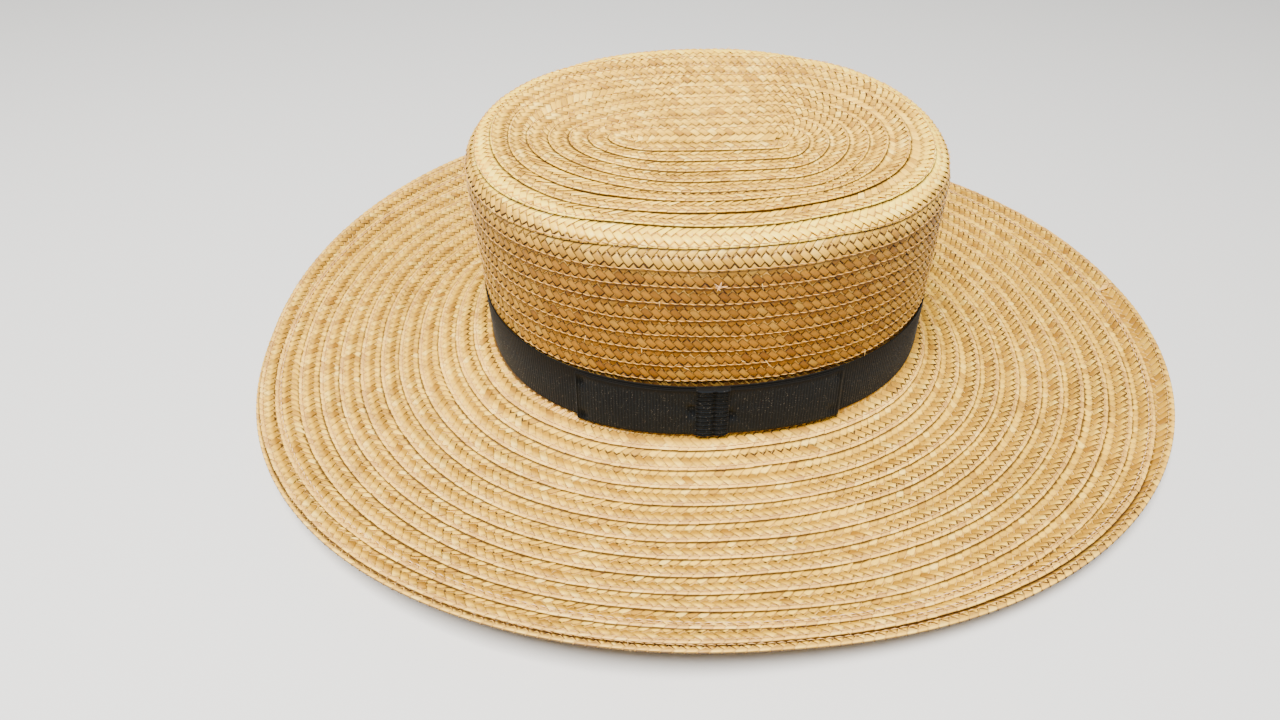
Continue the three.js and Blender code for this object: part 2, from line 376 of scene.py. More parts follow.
def plait_repeat(pitch, middle, depth, pinched=1.0):
    """One repeat of the braid: an inner straw, a middle one, and one that folds round the free edge.

    middle is how far inside the free edge the middle straw lies, and pinched narrows the fold at the edge.
    It comes with a number for each point, which says which of the three straws the point is of.
    """
    bm = bmesh.new()
    bm.loops.layers.uv.new("straw")
    bm.loops.layers.uv.new("share")
    width = pitch * math.sqrt(0.5)
    # The inner straw runs on inward, beneath the turn that lies on it.
    longer = 2.1 * width
    reach = longer / 2 * math.sqrt(0.5)
    inner_place = (pitch / 2 - reach, -middle - pitch - reach)
    inner = straw(bm, inner_place, 2 * width + longer, width, 1, 0.16, depth, -0.03, tucked=True)
    close_below(bm, inner)
    centre = straw(bm, (0, -middle), 2 * width, width, -1, 0.15, depth, 0.16)
    close_below(bm, centre)
    fold = straw(bm, (pitch / 2, pitch - middle), 2 * width, width, 1, 0.1, depth, 0)
    fold_faces = list(dict.fromkeys(face for vert in fold for face in vert.link_faces))
    fold_edges = list(dict.fromkeys(edge for face in fold_faces for edge in face.edges))
    cut = bmesh.ops.bisect_plane(
        bm, geom=fold + fold_edges + fold_faces, plane_co=(0, -0.35, 0), plane_no=(0, 1, 0), clear_outer=True
    )
    rim = [item for item in cut["geom_cut"] if isinstance(item, bmesh.types.BMEdge)]
    # The fold goes over the edge and back beneath it, a little narrower at each step.
    middle_x = pitch / 2
    for outward, drop, pinch in ((0.4, -0.3, 0.98 * pinched), (0.02, -0.35, 0.97), (-0.3, -0.35, 0.9)):
        made = bmesh.ops.extrude_edge_only(bm, edges=rim)["geom"]
        rim = [item for item in made if isinstance(item, bmesh.types.BMEdge)]
        for vert in (item for item in made if isinstance(item, bmesh.types.BMVert)):
            vert.co.x = middle_x + (vert.co.x - middle_x) * pinch + 0.12
            vert.co.y += outward
            vert.co.z += drop
    close_below(bm, [vert for vert in bm.verts if vert.is_boundary])
    fold_points = len(bm.verts) - len(inner) - len(centre)
    return bm, np.repeat((0, 1, 2), (len(inner), len(centre), fold_points))


def arrayed(bm, name, count, pitch):
    """The repeat copied along X by an array, as one plain mesh."""
    mesh = finished(bm, name)
    pattern = bpy.data.objects.new(name, mesh)
    bpy.context.scene.collection.objects.link(pattern)
    copies = pattern.modifiers.new("repeat", "ARRAY")
    copies.use_relative_offset = False
    copies.use_constant_offset = True
    copies.constant_offset_displace = (pitch, 0, 0)
    copies.count = count
    made = bpy.data.meshes.new_from_object(pattern.evaluated_get(bpy.context.evaluated_depsgraph_get()))
    bpy.data.objects.remove(pattern)
    bpy.data.meshes.remove(mesh)
    made.name = name
    return made


def points_of(mesh):
    """The mesh's points, in the units that it holds."""
    points = np.zeros(len(mesh.vertices) * 3, np.float32)
    mesh.vertices.foreach_get("co", points)
    return points.reshape(-1, 3).astype(float)


def set_points(mesh, points):
    """Moves the mesh's points to places given in millimetres."""
    mesh.vertices.foreach_set("co", (points / 1000).astype(np.float32).ravel())
    mesh.update()


def set_value(mesh, name, values):
    """Gives each point of the mesh a number that its material reads."""
    mesh.attributes.new(name, "FLOAT", "POINT").data.foreach_set("value", values.astype(np.float32))


# How deep the straws' relief is after pressing: flattest round the headline, deepest out on the brim.
PRESSED_TURNS = (0, 3, 6.5, 8.5, 17, 19, 21.4, 22.6, 25, 33)
PRESSED = (0.8, 0.95, 1.1, 1.1, 1.1, 0.35, 0.35, 0.7, 1.3, 1.25)
UNDER_RIBBON = 0.45
HEADLINE_TURN, LEFT_FOOT_TURN = 20.4, 20.42  # the turn at the headline, and where it leaves the ribbon
# How much straws differ from each other: radians turned, millimetres along, across and up, and share
# tilted.
TURNED, ALONG, ACROSS, RAISED, TILTED = 0.03, 0.05, 0.06, 0.05, 0.02
TIP_CLIMB, NOT_COVERED = 130, -9


def under_ribbon(climb):
    """How much deeper the plait is pressed where the ribbon lies on it."""
    return UNDER_RIBBON * np.interp(climb, (-3, 0.6, 26.0, 26.9), (0, 1, 1, 0))


def covered_at(points):
    """How far up from the headline each point of a plait is, and how far past the turn that lies on it."""
    turns = np.interp(points[:, 0], coil_length, coil_turns)
    on_tip = np.clip(LAST_BLEND - turns, 0, 1)
    climb = (free_edge(turns) - points[:, 1]) * (1 - on_tip) + TIP_CLIMB * on_tip
    shown_from = np.interp(climb, (0, 4, 78, 90), (0, 0.05, 0.05, 0))
    place = plait_face(turns, -points[:, 1])
    inward = plait_face(turns, 0.7 - points[:, 1]) - place
    nearest, past = np.full(len(points), 1e9), np.zeros(len(points))
    for step in np.linspace(-0.12, 0.12, 33):
        index = np.maximum(0, (turns - 1 + step) * STEPS_PER_TURN).astype(int)
        from_edge = place - coil_edge[index]
        distance = np.linalg.norm(from_edge, axis=1)
        closer = distance < nearest
        nearest[closer] = distance[closer]
        past[closer] = (np.sign(np.sum(from_edge * inward, axis=1)) * distance)[closer]
    return climb, np.where(turns < 1.1, NOT_COVERED, past) + shown_from


def plait_mesh(name, first_turn, last_turn, pitch, middle, seed, depth):
    """A stretch of plait laid on the hat, each straw a little different from the next."""
    bm, straw_kind = plait_repeat(pitch, middle, depth)
    start, end = np.interp((first_turn, last_turn), coil_turns, coil_length)
    start = math.floor(start / pitch) * pitch
    count = math.floor((end - start) / pitch)
    mesh = arrayed(bm, name, count, pitch)
    points = points_of(mesh)
    straw_of = (np.arange(count)[:, None] * 3 + straw_kind).ravel()
    luck = np.random.default_rng(seed)
    middles = np.zeros((count * 3, 2))
    for axis in (0, 1):
        middles[:, axis] = np.bincount(straw_of, points[:, axis]) / np.bincount(straw_of)
    turned = luck.normal(0, TURNED, count * 3)[straw_of]
    off = points[:, :2] - middles[straw_of]
    points[:, 0] += -off[:, 1] * turned + luck.normal(0, ALONG, count * 3)[straw_of]
    points[:, 1] += off[:, 0] * turned + luck.normal(0, ACROSS, count * 3)[straw_of]
    raised = luck.normal(0, RAISED, count * 3)[straw_of]
    points[:, 2] += raised + off[:, 1] * luck.normal(0, TILTED, count * 3)[straw_of]
    points[:, 0] += start
    # Pressing: the folds of the free edge keep their shape, except round the headline.
    turns = np.interp(points[:, 0], coil_length, coil_turns)
    crisp = np.interp(turns, PRESSED_TURNS, PRESSED)
    points[:, 2] *= np.where((points[:, 1] < -0.6) | (abs(turns - HEADLINE_TURN) < 1), crisp, 1)
    points[:, 2] *= np.interp(abs(turns - LEFT_FOOT_TURN), (0.1, 0.16), (0.25, 1))
    set_value(mesh, "straw_shade", luck.random(count * 3)[straw_of])
    set_value(mesh, "drop", points[:, 2])
    set_value(mesh, "crisp", crisp)
    set_value(mesh, "outward", points[:, 1])
    tilted = EDGE_HEIGHT + PLAIT_TILT * np.minimum(points[:, 1], 0)
    points[:, 2] = np.maximum(points[:, 2] + tilted, LOWEST_STRAW)
    climb, covered = covered_at(points)
    points[:, 2] -= under_ribbon(climb)
    set_value(mesh, "climb", climb)
    set_value(mesh, "covered", covered)
    set_points(mesh, on_coil(points))
    return mesh


# Split palm straw, dried, plaited and pressed: a pale gold skin with fine fibres along it and a satin
# gloss. The tone changes from straw to straw, and each straw is painted darker at its rims and where the
# others lie on it, as shade.
plaited_straw, tree, shader = material("plaited_palm_straw")
straw_shade, climb, covered, drop, crisp, outward = (
    add(tree, "Attribute", {"attribute_name": name}).outputs["Fac"]
    for name in ("straw_shade", "climb", "covered", "drop", "crisp", "outward")
)
object_place = add(tree, "TexCoord").outputs["Object"]
in_plan = add(tree, "SeparateXYZ", Vector=object_place)

# Fibres, about 4 mm long. Real ones are 0.05 mm wide, and these are 0.2 mm, so that they show.
straw_place = add(tree, "SeparateXYZ", Vector=add(tree, "UVMap", {"uv_map": "straw"}))
along = straw_place.outputs["X"]
own_fibres = add(tree, "Math", {"operation": "MULTIPLY_ADD"}, i0=straw_shade, i1=913.0, i2=along)
along_fibre = add(tree, "Math", {"operation": "MULTIPLY"}, i0=own_fibres, i1=0.16)
across_fibre = add(tree, "Math", {"operation": "MULTIPLY"}, i0=straw_place.outputs["Y"], i1=3.0)
fibre_place = add(tree, "CombineXYZ", X=along_fibre, Y=across_fibre, Z=0.0)
fibre = add(tree, "TexNoise", Vector=fibre_place, Scale=1.6, Detail=4.0, Roughness=0.6)
streak = add(tree, "MapRange", Value=fibre, From_Min=0.25, From_Max=0.75, To_Min=0.78, To_Max=1.14)
ramp = add(tree, "ValToRGB", Fac=straw_shade)
shades = (
    (0.0, "B68628"),
    (0.1, "CA9C30"),
    (0.35, "E0B034"),
    (0.65, "EBBA3A"),
    (0.9, "F6CA4E"),
    (1.0, "F8D368"),
)
while len(ramp.color_ramp.elements) < len(shades):
    ramp.color_ramp.elements.new(0.5)
for element, (position, colour) in zip(ramp.color_ramp.elements, shades):
    element.position = position
    element.color = linear(colour)

# Where a point lies: on the brim, on the tip, on either of these flat places, and far to the right or the
# back, where the flat places are painted a little darker and yellower, as shade.
on_brim = add(tree, "MapRange", Value=climb, From_Min=5.0, From_Max=-5.0)
on_tip = add(tree, "MapRange", Value=climb, From_Min=85.0, From_Max=105.0, To_Max=0.7)
flat_place = add(tree, "Math", {"operation": "MAXIMUM"}, i0=on_tip, i1=on_brim)
far_right = add(tree, "MapRange", Value=in_plan.outputs["X"], From_Min=0.04, From_Max=0.13)
far_back = add(tree, "MapRange", Value=in_plan.outputs["Y"], From_Min=-0.02, From_Max=0.07)
far_off_shade = add(tree, "Math", {"operation": "MAXIMUM"}, i0=far_right, i1=far_back)
far_off_shade = add(tree, "Math", {"operation": "MULTIPLY"}, i0=far_off_shade, i1=flat_place)
edge_zone = add(tree, "MapRange", Value=outward, From_Min=-2.6, From_Max=-1.5, To_Max=0.3)
brim_edge_zone = add(tree, "Math", {"operation": "MULTIPLY"}, i0=edge_zone, i1=on_brim)

# The outline of a straw, painted dark as shade: its two rims, and its tail, which goes under the next
# straws.
shares = add(tree, "SeparateXYZ", Vector=add(tree, "UVMap", {"uv_map": "share"}))
across = add(tree, "Math", {"operation": "ABSOLUTE"}, i0=shares.outputs["Y"])
rim = add(tree, "MapRange", Value=across, From_Min=0.78, From_Max=0.97, To_Max=0.75)
tail = add(tree, "MapRange", Value=shares.outputs["X"], From_Min=0.72, From_Max=0.84)
shaded_outline = add(tree, "Math", {"operation": "MAXIMUM"}, i0=rim, i1=tail)

# On flat places the painted shade of the outline is cut down to shadow ticks, in patches: inner ones on
# the left of the hat, outer ones on the right, so that they fall at the straws' ends away from the lamp,
# which stands to the left. They are denser far off and by the ribbon.
shadow_tick_patches = add(tree, "TexNoise", Vector=object_place, Scale=24.0, Detail=2.0)
shadow_ticks = add(tree, "MapRange", Value=shadow_tick_patches, From_Min=0.4, From_Max=0.6, To_Min=0.5, To_Max=1.15)
inner_ticks = add(tree, "MapRange", Value=outward, From_Min=-3.4, From_Max=-4.6, To_Min=0.4)
outer_ticks = add(tree, "MapRange", Value=outward, From_Min=-4.4, From_Max=-3.2, To_Min=0.4, To_Max=1.5)
to_right = add(tree, "MapRange", Value=in_plan.outputs["X"], From_Min=0.01, From_Max=0.08)
tick_zone = add(tree, "MapRange", Value=to_right, To_Min=inner_ticks, To_Max=outer_ticks)
denser = add(tree, "MapRange", Value=far_off_shade, To_Min=1.0, To_Max=1.6)
by_ribbon = add(tree, "MapRange", Value=climb, From_Min=-20.0, From_Max=-9.0, To_Min=1.0, To_Max=1.8)
brim_by_ribbon = add(tree, "MapRange", Value=on_brim, To_Min=1.0, To_Max=by_ribbon)
for more in (tick_zone, denser, brim_by_ribbon):
    shadow_ticks = add(tree, "Math", {"operation": "MULTIPLY"}, i0=shadow_ticks, i1=more)
flat_ticks = add(tree, "MapRange", Value=flat_place, To_Min=1.0, To_Max=shadow_ticks)
inner_least = add(tree, "MapRange", Value=flat_place, To_Min=1.0, To_Max=0.45)
inner_zone = add(tree, "MapRange", Value=outward, From_Min=-6.3, From_Max=-5.9, To_Min=inner_least)
fading = add(tree, "Math", {"operation": "MULTIPLY_ADD"}, i0=brim_edge_zone, i1=-2.4, i2=1.0)
for more in (inner_zone, flat_ticks):
    fading = add(tree, "Math", {"operation": "MULTIPLY"}, i0=fading, i1=more)
sharp = add(tree, "Math", {"operation": "MULTIPLY_ADD"}, i0=crisp, i1=0.6, i2=0.4)
sharp = add(tree, "Math", {"operation": "MULTIPLY"}, i0=sharp, i1=fading)
painted_shade = add(tree, "Math", {"operation": "MULTIPLY", "use_clamp": True}, i0=shaded_outline, i1=sharp)

# The shallow middle of a flat row, painted a darker gold, partly as dust and partly as shade in the dip;
# soft patches all over; painted shade on the crown's side, most in front; and a painted highlight on the
# rim of the tip, where the shoulder faces the lamp.
dip_dust_and_shade = add(tree, "MapRange", Value=outward, From_Min=-2.9, From_Max=-4.2)
dip_end = add(tree, "MapRange", Value=outward, From_Min=-6.3, From_Max=-5.7)
for more in (dip_end, flat_place):
    dip_dust_and_shade = add(tree, "Math", {"operation": "MULTIPLY"}, i0=dip_dust_and_shade, i1=more)
patch = add(tree, "TexNoise", Vector=object_place, Scale=38.0, Detail=3.0)
blotch = add(tree, "MapRange", Value=patch, From_Min=0.3, From_Max=0.7, To_Min=0.9, To_Max=1.07)
crown_side_shade = add(tree, "MapRange", Value=climb, From_Min=-6.0, From_Max=6.0)
below_top = add(tree, "MapRange", Value=climb, From_Min=76.0, From_Max=91.0, To_Min=1.0, To_Max=0.0)
in_front = add(tree, "MapRange", Value=in_plan.outputs["Y"], From_Min=-0.02, From_Max=-0.07, To_Min=0.6)
on_left = add(
    tree, "MapRange", Value=in_plan.outputs["X"], From_Min=0.04, From_Max=0.09, To_Min=1.0, To_Max=0.78
)
for more in (below_top, in_front, on_left):
    crown_side_shade = add(tree, "Math", {"operation": "MULTIPLY"}, i0=crown_side_shade, i1=more)
shoulder_highlight = add(tree, "MapRange", Value=climb, From_Min=86.5, From_Max=89.0)
off_rim = add(tree, "MapRange", Value=climb, From_Min=95.0, From_Max=100.0, To_Min=0.8, To_Max=0.0)
shoulder_highlight = add(tree, "Math", {"operation": "MULTIPLY"}, i0=shoulder_highlight, i1=off_rim)

# What lies in the shade: under the next turn, in the gaps between straws, and just above the ribbon.
under = add(tree, "MapRange", Value=covered, From_Min=-1.05, From_Max=-0.25, To_Max=0.93)
fallen = add(tree, "MapRange", Value=drop, From_Min=-0.12, From_Max=-0.5, To_Max=0.92)
hidden = add(tree, "Math", {"operation": "MAXIMUM"}, i0=under, i1=fallen)
above_ribbon = add(tree, "MapRange", Value=climb, From_Min=28.9, From_Max=28.0, To_Max=0.8)
up_side = add(tree, "MapRange", Value=climb, From_Min=24.0, From_Max=25.0)
ribbon_gap = add(tree, "Math", {"operation": "MULTIPLY"}, i0=above_ribbon, i1=up_side)
hidden = add(tree, "Math", {"operation": "MAXIMUM"}, i0=hidden, i1=ribbon_gap)

# Painted light and shade among these: the outline's shade, the far places' and the crown side's shade, the
# shoulder's highlight and the shade of what lies hidden. The dip is partly dust, partly painted shade.
colour = ramp
for blend, amount, tint in (
    ("MULTIPLY", 1.0, streak),
    ("MULTIPLY", dip_dust_and_shade, linear("D2C68C")),
    ("MIX", brim_edge_zone, linear("E9B878")),
    ("MIX", painted_shade, linear("35200A")),
    ("MULTIPLY", far_off_shade, linear("F2F0DC")),
    ("MULTIPLY", 1.0, blotch),
    ("MULTIPLY", crown_side_shade, linear("9A8456")),
    ("SCREEN", shoulder_highlight, linear("ECB02C")),
    ("MIX", hidden, linear("3E2510")),
):
    colour = add(tree, "MixRGB", {"blend_type": blend}, Fac=amount, Color1=colour, Color2=tint)
tree.links.new(colour.outputs[0], shader.inputs["Base Color"])
gloss = add(tree, "MapRange", Value=fibre, From_Min=0.2, From_Max=0.8, To_Min=0.5, To_Max=0.36)
matt_rim = add(tree, "MapRange", Value=painted_shade, To_Min=gloss, To_Max=0.9)
tree.links.new(matt_rim.outputs[0], shader.inputs["Roughness"])
shader.inputs["Specular IOR Level"].default_value = 0.28
relief = add(tree, "Bump", Height=fibre, Strength=0.5, Distance=0.00008)
tree.links.new(relief.outputs["Normal"], shader.inputs["Normal"])

# Piece, its first and last turn, repeat of the braid, place of its middle straw, random seed, relief, CAD
# node.
stretches = (
    ("tip_plait", 0.0, 7.75, CROWN_STRAW, 3.4, 11, 1.0, "crown"),
    ("side_plait", 7.75, 17.62, CROWN_STRAW, 3.4, 12, 1.1, "crown"),
    ("headline_plait", 19.2, 20.7, BRIM_STRAW, 4.0, 13, 0.8, "crown"),
    ("inner_brim_plait", 20.7, 26.75, BRIM_STRAW, 4.0, 14, 0.85, "brim"),
    ("middle_brim_plait", 26.75, 30.25, BRIM_STRAW, 4.0, 15, 0.95, "brim"),
    ("outer_brim_plait", 30.25, LAST_TURN, BRIM_STRAW, 4.0, 16, 0.95, "brim"),
)
for name, first_turn, last_turn, pitch, middle, seed, depth, node in stretches:
    mesh = plait_mesh(name, first_turn, last_turn, pitch, middle, seed, depth)
    piece = placed(name, mesh, plaited_straw)
    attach(piece, "root")
    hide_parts(node)


# ---------------------------------------------------------------- inner layer of the plait
# The straws that run under the visible ones. It is one closed strip along the whole coil, as wide as the
# plait and its hidden overlap, and its underside is the hat's inner face.
def hidden_strip(start, end, steps, width, inset, below, thickness):
    """A closed flat strip, start to end along x, inset from the plait's free edge and below its face."""
    bm = bmesh.new()
    bmesh.ops.create_grid(bm, x_segments=steps, y_segments=2, size=0.5)
    bmesh.ops.scale(bm, vec=(end - start, width, 1), verts=bm.verts)
    bmesh.ops.translate(bm, vec=((end - start) / 2, -width / 2 - inset, 0), verts=bm.verts)
    bmesh.ops.solidify(bm, geom=bm.faces[:], thickness=thickness)
    top = max(vert.co.z for vert in bm.verts)
    bmesh.ops.translate(bm, vec=(start, 0, -below - top), verts=bm.verts)
    uv = bm.loops.layers.uv.new("straw")
    for face in bm.faces:
        for loop in face.loops:
            loop[uv].uv = loop.vert.co.xy
    return bm


def under_layer(name, first_turn, last_turn):
    """The inner layer of a stretch of the coil."""
    start, end = np.interp((first_turn, last_turn), coil_turns, coil_length)
    steps = math.ceil((end - start) / 5)
    mesh = finished(hidden_strip(start, end, steps, 10.8, 0.4, 0.3, PLAIT_THICKNESS - 0.3), name)
    points = points_of(mesh)
    points[:, 2] += EDGE_HEIGHT + PLAIT_TILT * points[:, 1]
    turns = np.interp(points[:, 0], coil_length, coil_turns)
    points[:, 2] -= np.where(turns > LAST_BLEND, under_ribbon(free_edge(turns) - points[:, 1]), 0)
    set_points(mesh, on_coil(points))
    return mesh


# The same straw inside the plait, unvarnished and less glossy. Its weave is a pattern at the braid's own
# repeat, with the gaps between the straws sunk.
hidden_straw, tree, shader = material("plaited_palm_straw_inside")
shader.inputs["Roughness"].default_value = 0.6
strip_place = add(tree, "SeparateXYZ", Vector=add(tree, "UVMap", {"uv_map": "straw"}))
along_strip = strip_place.outputs["X"]
from_middle = add(tree, "Math", {"operation": "ADD"}, i0=strip_place.outputs["Y"], i1=5.8)
from_middle = add(tree, "Math", {"operation": "ABSOLUTE"}, i0=from_middle)
lean_in = add(tree, "Math", {"operation": "SUBTRACT"}, i0=along_strip, i1=from_middle)
lean_out = add(tree, "Math", {"operation": "ADD"}, i0=along_strip, i1=from_middle)
crossings = add(tree, "CombineXYZ", X=lean_in, Y=lean_out, Z=0.0)
weave = add(
    tree, "TexBrick", {"offset": 0.5}, Vector=crossings, Scale=1.0, Bias=0.0,
    Color1=linear("D6A648"), Color2=linear("B98A34"), Mortar=linear("5A3C18"),
    Mortar_Size=0.22, Mortar_Smooth=0.6, Brick_Width=2 * BRIM_STRAW, Row_Height=BRIM_STRAW,
)
tree.links.new(weave.outputs["Color"], shader.inputs["Base Color"])
between = add(tree, "Math", {"operation": "SUBTRACT"}, i0=1.0, i1=weave.outputs["Fac"])
weave_relief = add(tree, "Bump", Height=between, Strength=0.7, Distance=0.0003)
tree.links.new(weave_relief.outputs["Normal"], shader.inputs["Normal"])

CROWN_ENDS = 20.7
for name, first_turn, last_turn, node in (
    ("crown_under_layer", 0.0, CROWN_ENDS, "crown"),
    ("brim_under_layer", CROWN_ENDS, LAST_TURN, "brim"),
):
    piece = placed(name, under_layer(name, first_turn, last_turn), hidden_straw)
    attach(piece, "root")
    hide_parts(node)


# ---------------------------------------------------------------- edge row of the brim
# One more row of the same plait, sewn under the last turn all round, so that the brim's edge is double
# and firm. It shows past the last turn on the right and in front.
EDGE_ROW_BELOW = 1.15
edge_angles = np.linspace(0, 2 * math.pi, 2161)
edge_line = hat_surface(-edge_angles, -rippled("width", -edge_angles))
edge_length = np.concatenate([[0], np.cumsum(np.linalg.norm(np.diff(edge_line, axis=0), axis=1))])
EDGE_REPEATS = round(edge_length[-1] / BRIM_STRAW)
EDGE_STRAW = edge_length[-1] / EDGE_REPEATS


def on_edge(points):
    """Points of a straight plait laid along the brim's edge, as on_coil lays them on the coil."""
    angle = -np.interp(points[:, 0] % edge_length[-1], edge_length, edge_angles)
    climb = -rippled("width", angle) - points[:, 1]
    place = hat_surface(angle, climb)
    ahead = hat_surface(angle - 0.005, climb) - hat_surface(angle + 0.005, climb)
    across = hat_surface(angle, climb + 0.7) - place
    normal = np.cross(across, ahead)
    normal /= np.linalg.norm(normal, axis=1, keepdims=True)
    return place + normal * points[:, 2:]


bm, straw_kind = plait_repeat(EDGE_STRAW, 4.0, 1.3, 0.9)
mesh = arrayed(bm, "edge_row", EDGE_REPEATS, EDGE_STRAW)
points = points_of(mesh)
luck = np.random.default_rng(21)
straw_of = (np.arange(EDGE_REPEATS)[:, None] * 3 + straw_kind).ravel()
points[:, 2] += luck.normal(0, RAISED, EDGE_REPEATS * 3)[straw_of]
set_value(mesh, "straw_shade", luck.random(EDGE_REPEATS * 3)[straw_of])
set_value(mesh, "drop", points[:, 2])
set_value(mesh, "climb", np.full(len(points), -100.0))
round_share = np.interp(points[:, 0] % edge_length[-1], edge_length, edge_angles) / (2 * math.pi)
last_turn_inset = rippled("width", -2 * math.pi * round_share) + free_edge(LAST_TURN - 1 + round_share)
set_value(mesh, "covered", -points[:, 1] - last_turn_inset - 0.2)
set_value(mesh, "crisp", np.full(len(points), 0.8))
set_value(mesh, "outward", np.where(points[:, 1] > -2.5, -2.0, -4.4))
points[:, 2] += EDGE_HEIGHT - EDGE_ROW_BELOW + PLAIT_TILT * np.minimum(points[:, 1], 0)
set_points(mesh, on_edge(points))
edge_row = placed("edge_row", mesh, plaited_straw)
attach(edge_row, "root")
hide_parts("brim_edge")


# The straws that run under the edge row's visible ones: a closed strip all round, just inside its free
# edge.
def under_edge(points):
    """Points of a straight strip laid beneath the edge row's face."""
    points[:, 2] += EDGE_HEIGHT - EDGE_ROW_BELOW + PLAIT_TILT * points[:, 1]
    return on_edge(points)


def open_ends(bm, length):
    """Takes off the end faces of a strip that closes round the hat."""
    ends = [
        face
        for face in bm.faces
        if all(vert.co.x < 0.01 for vert in face.verts)
        or all(vert.co.x > length - 0.01 for vert in face.verts)
    ]
    bmesh.ops.delete(bm, geom=ends, context="FACES_ONLY")


def bent(bm, place):
    """Moves every point to where place puts it on the hat, in metres."""
    points = place(np.array([vert.co for vert in bm.verts]))
    for vert, point in zip(bm.verts, points):
        vert.co = point / 1000


WELD = 0.00002
bm = hidden_strip(0, edge_length[-1], 720, 9, 0.25, 0.25, PLAIT_THICKNESS - 0.4)
open_ends(bm, edge_length[-1])
bent(bm, under_edge)
bmesh.ops.remove_doubles(bm, verts=bm.verts, dist=WELD)
edge_under_layer = placed("edge_under_layer", finished(bm, "edge_under_layer"), hidden_straw)
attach(edge_under_layer, "root")
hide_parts("brim_edge")


# ---------------------------------------------------------------- stitches
# The lockstitch that sews each turn to the next: cotton thread, pale and a little pink against the straw,
# one stitch every 3.2 mm just inside the free edge. Each stitch sinks into the straw at both of its ends.
STITCH_PITCH, STITCH_LENGTH, THREAD_HALF = 3.2, 2.7, 0.19


def stitch():
    """One stitch: a short length of thread along x, highest and thickest in its middle."""
    bm = bmesh.new()
    bmesh.ops.create_cone(
        bm, cap_ends=True, segments=3, radius1=THREAD_HALF, radius2=THREAD_HALF, depth=STITCH_LENGTH,
        matrix=Matrix.Rotation(math.pi / 2, 4, "Y"),
    )
    long_edges = [edge for edge in bm.edges if abs(edge.verts[0].co.x - edge.verts[1].co.x) > 1]
    bmesh.ops.subdivide_edges(bm, edges=long_edges, cuts=1)
    for vert in bm.verts:
        at_end = abs(vert.co.x) > 1
        vert.co.y = vert.co.y * (0.6 if at_end else 1.25) - 0.09 * vert.co.x
        vert.co.z = vert.co.z * (0.6 if at_end else 0.9) + (0.0 if at_end else 0.26)
    return bm


def stitch_row(name, lay, start, end, inward, rise, seed):
    """A row of stitches from start to end along the plait, inward from its free edge."""
    count = math.floor((end - start) / STITCH_PITCH)
    bm = stitch()
    per_stitch = len(bm.verts)
    mesh = arrayed(bm, name, count, STITCH_PITCH)
    points = points_of(mesh)
    luck = np.random.default_rng(seed)
    points[:, 0] += start + 1
    points[:, 1] += -inward + np.repeat(luck.normal(0, 0.07, count), per_stitch)
    points[:, 2] += rise + PLAIT_TILT * points[:, 1] + np.repeat(luck.normal(0, 0.05, count), per_stitch)
    set_points(mesh, lay(points))
    return mesh


# Spun cotton thread: matt, with its plies just seen. They are 0.4 mm apart, coarser than real ones, to
# show.
def thread_material(name, colour):
    made, tree, shader = material(name)
    shader.inputs["Base Color"].default_value = linear(colour)
    shader.inputs["Roughness"].default_value = 0.8
    shader.inputs["Specular IOR Level"].default_value = 0.1
    twist_place = add(tree, "TexCoord").outputs["Object"]
    twist = add(tree, "TexNoise", Vector=twist_place, Scale=2500.0, Detail=2.0)
    twist_relief = add(tree, "Bump", Height=twist, Strength=0.4, Distance=0.0001)
    tree.links.new(twist_relief.outputs["Normal"], shader.inputs["Normal"])
    return made


cotton_thread = thread_material("pale_cotton_thread", "CFA05C")
seam_thread = thread_material("pinkish_cotton_thread", "E6BA88")

# Where the seams that can show start and end, in millimetres along the coil.
band_top, headline, seam_start, seam_end = (
    float(length) for length in np.interp((16.42, 20.9, 31.15, 32.2), coil_turns, coil_length)
)
on_top, over_seam, on_edge_row = EDGE_HEIGHT + 0.1, EDGE_HEIGHT + 0.34, EDGE_HEIGHT - 0.4
# Piece, what it follows, its start and end, how far inward and how high it lies, random seed, thread, CAD
# node.
for name, lay, start, end, inward, rise, seed, coat, node in (
    ("crown_stitches", on_coil, 0, band_top, 0.75, on_top, 31, cotton_thread, "crown"),
    ("brim_stitches", on_coil, headline, coil_length[-1], 1.3, on_top - 0.02, 32, cotton_thread, "brim"),
    ("edge_seam_stitches", on_coil, seam_start, seam_end, 2.3, over_seam, 34, seam_thread, "brim"),
    ("edge_stitches", on_edge, 0, edge_length[-1], 2.2, on_edge_row, 33, cotton_thread, "brim_edge"),
):
    piece = placed(name, stitch_row(name, lay, start, end, inward, rise, seed), coat)
    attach(piece, "root")
    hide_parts(node)


